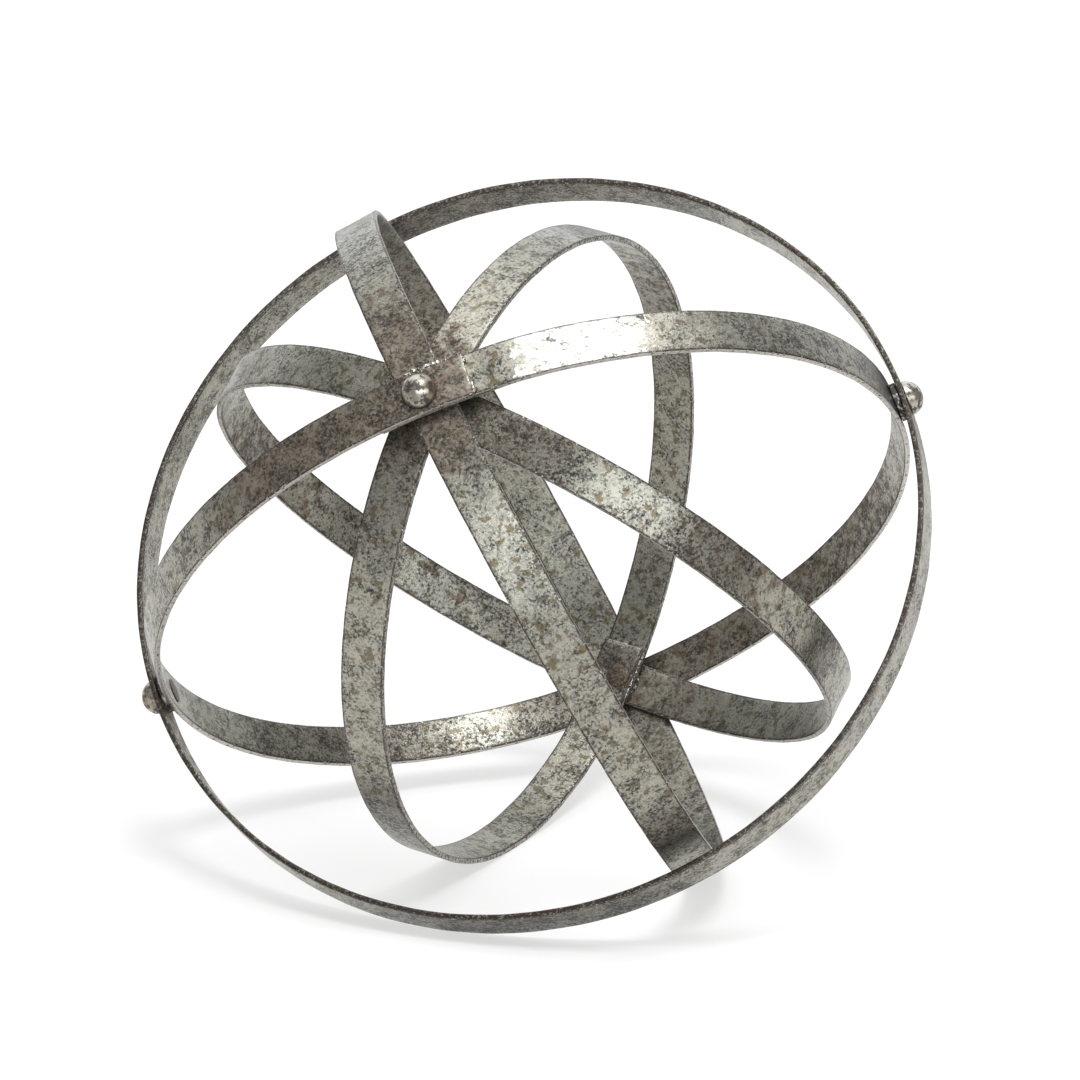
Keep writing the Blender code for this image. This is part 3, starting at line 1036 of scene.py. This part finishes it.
def build_weld(strap, number, weld, bead):
    """A lumpy bead of weld metal, laid along a seam of a lapped joint."""
    middle = weld_places(strap, weld)
    run = np.gradient(middle, axis=0)
    run /= np.linalg.norm(run, axis=1)[:, None]
    outward = middle / np.linalg.norm(middle, axis=1)[:, None]
    sideways = np.cross(run, outward)
    shape = bmesh.new()
    rings = []
    for step, centre in enumerate(middle):
        taper = math.sin(math.pi * (step + 0.6) / (len(middle) + 0.2)) ** 0.3
        ring = []
        for side in range(WELD_SIDES):
            turn = 2 * math.pi * side / WELD_SIDES
            away = outward[step] * math.cos(turn) + sideways[step] * math.sin(turn)
            lump = noise.noise(Vector(centre + away * weld.radius) / LUMP_LENGTH)
            reach = weld.radius * taper * (0.8 + 1.1 * lump)
            ring.append(shape.verts.new(Vector(centre + away * reach) + HUB))
        rings.append(ring)
    for first, second in zip(rings, rings[1:]):
        for side in range(WELD_SIDES):
            after = (side + 1) % WELD_SIDES
            shape.faces.new((first[side], first[after], second[after], second[side]))
    shape.faces.new(rings[0])
    shape.faces.new(rings[-1])
    bmesh.ops.recalc_face_normals(shape, faces=shape.faces)
    name = f"{strap.name}_weld_{number}"
    mesh = bpy.data.meshes.new(name)
    shape.to_mesh(mesh)
    shape.free()
    obj = new_object(name, mesh, bead)
    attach(obj, body_of(strap.name))


# --- Camera, floor and lights --------------------------------------------------------------------


def add_camera():
    """A long lens from the front, a little above the orb."""
    heading, pitch, roll = CAMERA_TURNS
    attitude = Matrix.Rotation(heading, 3, "Z") @ Matrix.Rotation(pitch, 3, "X")
    attitude = attitude @ Matrix.Rotation(roll, 3, "Z")
    camera = bpy.data.cameras.new("camera")
    camera.lens = LENS
    camera.sensor_width = SENSOR
    obj = bpy.data.objects.new("camera", camera)
    bpy.context.scene.collection.objects.link(obj)
    obj.matrix_world = Matrix.Translation(HUB + attitude @ CAMERA_OFFSET) @ attitude.to_4x4()
    bpy.context.scene.camera = obj


def add_floor():
    """A plain white table, faintly lit from within."""
    mesh = bpy.data.meshes.new("floor")
    sides = ((-1, -1), (1, -1), (1, 1), (-1, 1))
    mesh.from_pydata([(x * FLOOR_HALF, y * FLOOR_HALF, 0) for x, y in sides], [], [range(4)])
    material, tree, shader = new_material("floor_white")
    where = add_node(tree, "ShaderNodeTexCoord", {}).outputs["Object"]
    tint = blend(tree, speckle(tree, where, 0.4), *FLOOR_TINTS)
    tree.links.new(tint, shader.inputs["Base Color"])
    shader.inputs["Roughness"].default_value = 0.9
    shader.inputs["Specular IOR Level"].default_value = 0.1
    shader.inputs["Emission Color"].default_value = (1.0, 1.0, 1.0, 1.0)
    shader.inputs["Emission Strength"].default_value = 0.62
    obj = bpy.data.objects.new("floor", mesh)
    mesh.materials.append(material)
    bpy.context.scene.collection.objects.link(obj)


def toward(azimuth, elevation):
    """A direction: azimuth from the camera's side towards the right, elevation above the floor."""
    azimuth, elevation = math.radians(azimuth), math.radians(elevation)
    return Vector(
        (
            math.sin(azimuth) * math.cos(elevation),
            -math.cos(azimuth) * math.cos(elevation),
            math.sin(elevation),
        )
    )


def add_light(name, kind, azimuth, elevation, energy, metal=True, floor=True, **settings):
    """A light aimed at the orb. metal and floor say which of the two it shines on.

    One for the metal alone is slightly cool, as a highlight on zinc looks whiter than the zinc.
    """
    light = bpy.data.lights.new(name, kind)
    light.energy = energy
    if not floor:
        light.color = COOL_WHITE
    for key, value in settings.items():
        setattr(light, key, value)
    obj = bpy.data.objects.new(name, light)
    bpy.context.scene.collection.objects.link(obj)
    away = toward(azimuth, elevation)
    obj.location = HUB + away * LIGHT_DISTANCE
    obj.rotation_euler = away.to_track_quat("Z", "Y").to_euler()
    obj.visible_glossy = metal
    obj.visible_diffuse = floor


def add_softbox(name, azimuth, elevation, power, width, height, floor=True):
    """A rectangular light for the metal, and for the floor too unless floor is False."""
    sizes = {"shape": "RECTANGLE", "size": width, "size_y": height}
    add_light(name, "AREA", azimuth, elevation, power, floor=floor, **sizes)


def add_studio():
    """Softboxes overhead, in front and behind, a highlight for the metal and a shadow below it."""
    add_light("key", "SUN", 43, 78.5, 1.05, floor=False, angle=math.radians(17))
    add_light("top", "SUN", 16, 69, 2.2, metal=False, angle=math.radians(22))
    add_softbox("overhead", 0, 89, 18.0, 2.0, 2.0)
    add_softbox("front", 18, 24, 17.0, 2.6, 0.8, floor=False)
    add_softbox("behind", 178, 34, 18.0, 3.0, 1.5, floor=False)
    world = bpy.data.worlds.new("studio")
    world.use_nodes = True
    room = world.node_tree.nodes["Background"]
    room.inputs["Color"].default_value = (1.0, 1.0, 1.0, 1.0)
    room.inputs["Strength"].default_value = 0.42
    bpy.context.scene.world = world
    bpy.context.scene.view_settings.view_transform = "Standard"


def main():
    add_camera()
    add_floor()
    add_studio()
    bead = weld_metal()
    build_band("outer_band", [OUTER_AXIS], bead)
    build_band("carrier_band", [INNER_AXIS, OUTER_AXIS], bead)
    for node_name in ("large_inner_band", "middle_inner_band", "small_inner_band"):
        build_band(node_name, [INNER_AXIS], bead)
    build_hardware()


main()
